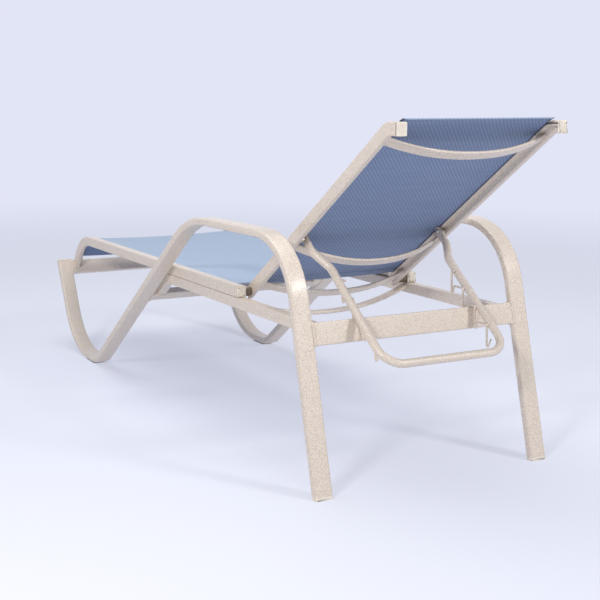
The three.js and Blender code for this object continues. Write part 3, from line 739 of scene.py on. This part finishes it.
def sling(node, dip, curl, rests_on):
    body = body_of_node[node]
    place, length = along_line(groove_line(node))
    groove_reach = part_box(node)[1][0]
    rail_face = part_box(rests_on[0])[0][0]
    seam_reach = groove_reach - hem_inset - seam_inset
    edge_slip = slot_tuck if curl else 0.0
    dip_start = 0.0 if curl else -end_ease

    def sag(share, distance):
        front = front_dip_share + (1 - front_dip_share) * ramp(length - distance, 0.0, end_ease)
        hold = ramp(distance, dip_start, end_ease) * front
        return curl * ramp(curl_run - distance, 0.0, curl_run) - dip * hold * (1 - share * share)

    def half_width(distance):
        return groove_reach - edge_slip * ramp(curl_run + slot_tuck - distance, 0.0, slot_tuck)

    def hem_sag(share, distance):
        return sag(share, distance) - hem_drop

    def hem_half_width(distance):
        return groove_reach - hem_inset

    def spot_on(across, distance, lift):
        spot, normal = place(distance)
        rise = sag(across / groove_reach, distance) + lift
        return spot + normal * rise + Vector((across, 0, 0))

    def seam(row, lift):
        count = round(2 * seam_reach / stitch_step)
        spots = [spot_on((2 * i / count - 1) * seam_reach, row, lift) for i in range(count + 1)]
        return rope("seam", spots, stitch_radii, False, stitch_roundness)

    def welt(side):
        count = round((length - 2 * welt_end) / along_cell)
        spots = [spot_on(side * (rail_face - welt_radius), welt_end + i * along_cell, 0.0)
                 for i in range(count + 1)]
        return rope("welt", spots, (welt_radius,), False, welt_roundness)

    cloth = sheet_grid(f"{node}_cloth", half_width, 0.0, length, place, sag, sheet_thickness)
    settle(cloth, body, blue_sling)
    for end, start in (("rear", 0.0), ("front", length - hem_width)):
        hem = sheet_grid(f"{node}_{end}_hem", hem_half_width, start, hem_width, place, hem_sag,
                         hem_thickness)
        settle(hem, body, hem_sling)
    rows = (seam_inset, hem_width - seam_inset,
            length - seam_inset, length - hem_width + seam_inset)
    lifts = (sheet_thickness / 2, -hem_drop - sheet_thickness / 2)
    seams = [seam(row, lift) for row in rows for lift in lifts]
    joined(f"{node}_seams", seams, body, "sling_mesh", thread)
    # The welts are real, but their dark colour is painted shade where the cloth enters the grooves.
    welts = [welt(side) for side in (1, -1)]
    joined(f"{node}_shaded_edge_welts", welts, body, "sling_mesh", welt_with_groove_shade)
    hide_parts(node)
    print(node, "flat", round(2 * groove_reach, 4), "by", round(length, 4))


sling("seat_sling", seat_dip, 0.0, ["left_seat_rail", "right_seat_rail"])
sling("back_sling", back_dip, back_curl, ["left_back_rail", "right_back_rail"])

# %% [markdown]
# The studio is a pale floor that fades into a pale backdrop. Near the lounge the floor takes the
# soft shadows, and further out it glows in the backdrop's own colour, so no edge shows. A pool of
# light is painted on the floor before the camera, to its left, as a brighter glow. The camera and the
# highlights see the backdrop, while the lounge is lit by a fainter sky and by three soft lamps: the
# key lamp high on the camera's right, behind the head end, a second lamp high on its left, and a
# large one overhead.

# %% Floor, backdrop and lamps
backdrop_tint = colour(226, 229, 246)
light_pool_tint = colour(252, 252, 255)
floor_tint = colour(236, 239, 250)
sky_tint = (0.93, 0.95, 1.0, 1.0)
sky_strength = 0.29
floor_size = 60
paper_roughness, paper_gloss = 0.85, 0.15
# A pool of light painted on the floor: its glow is brighter near this spot.
painted_light_pool, light_pool_range = (1.7, 1.5, 0.0), (0.3, 2.0)
near_glow, glow_range = 0.54, (1.6, 5.5)
lounge_middle = (0, 0, 0.3)
lounge_back = (0, 0.1, 0.3)


def studio_floor():
    bpy.ops.object.select_all(action="DESELECT")
    bpy.ops.mesh.primitive_plane_add(size=floor_size)
    floor = bpy.context.object
    floor.name = "studio_floor"
    paper = Finish("studio_paper", Roughness=paper_roughness, Specular_IOR_Level=paper_gloss)
    paper.set("Base Color", floor_tint)
    place = paper.object_place()
    distance = paper.node("ShaderNodeVectorMath", {"operation": "LENGTH"}, place, output="Value")
    # Distance from the painted pool of light sets how bright the glow is.
    from_light_pool = paper.node("ShaderNodeVectorMath", {"operation": "DISTANCE"}, place, painted_light_pool,
                            output="Value")
    tint = paper.blend(from_light_pool.step(*light_pool_range), light_pool_tint, backdrop_tint)
    glow = paper.node("ShaderNodeEmission", {}, tint)
    lit = Value(paper, paper.shader.outputs[0])
    share = near_glow + (1 - near_glow) * distance.step(*glow_range)
    seen = paper.node("ShaderNodeMixShader", {}, share, lit, glow)
    paper.put(paper.tree.nodes["Material Output"].inputs["Surface"], seen)
    floor.data.materials.append(paper.material)


def world_light(tint, strength):
    world = bpy.data.worlds.new("studio_world")
    world.use_nodes = True
    scene.world = world
    sky = NodeMaker(world.node_tree)
    backdrop = sky.tree.nodes["Background"]
    backdrop.inputs["Color"].default_value = backdrop_tint
    light = sky.node("ShaderNodeBackground", {}, tint, strength)
    to_camera = sky.node("ShaderNodeLightPath", {}, output="Is Camera Ray")
    to_gloss = sky.node("ShaderNodeLightPath", {}, output="Is Glossy Ray")
    either = to_camera.math("MAXIMUM", to_gloss)
    seen = sky.node("ShaderNodeMixShader", {}, either, light, Value(sky, backdrop.outputs[0]))
    sky.put(sky.tree.nodes["World Output"].inputs["Surface"], seen)


def soft_lamp(name, place, target, size, power, tint):
    data = bpy.data.lights.new(name, "AREA")
    data.shape = "SQUARE"
    data.size = size
    data.energy = power
    data.color = tint
    lamp = bpy.data.objects.new(name, data)
    lamp.location = place
    aim = Vector(target) - Vector(place)
    lamp.rotation_euler = aim.to_track_quat("-Z", "Y").to_euler()
    lamp.visible_camera = False
    scene.collection.objects.link(lamp)


studio_floor()
world_light(sky_tint, sky_strength)
soft_lamp("key_lamp", place=(-1.9, 3.8, 2.8), target=lounge_back, size=0.75, power=78,
          tint=(1.0, 0.985, 0.965))
soft_lamp("top_lamp", place=(0.3, -0.4, 3.4), target=lounge_middle, size=2.6, power=62,
          tint=(0.97, 0.985, 1.0))
soft_lamp("side_lamp", place=(3.1, 2.3, 2.4), target=lounge_back, size=0.6, power=68,
          tint=(1.0, 0.99, 0.975))
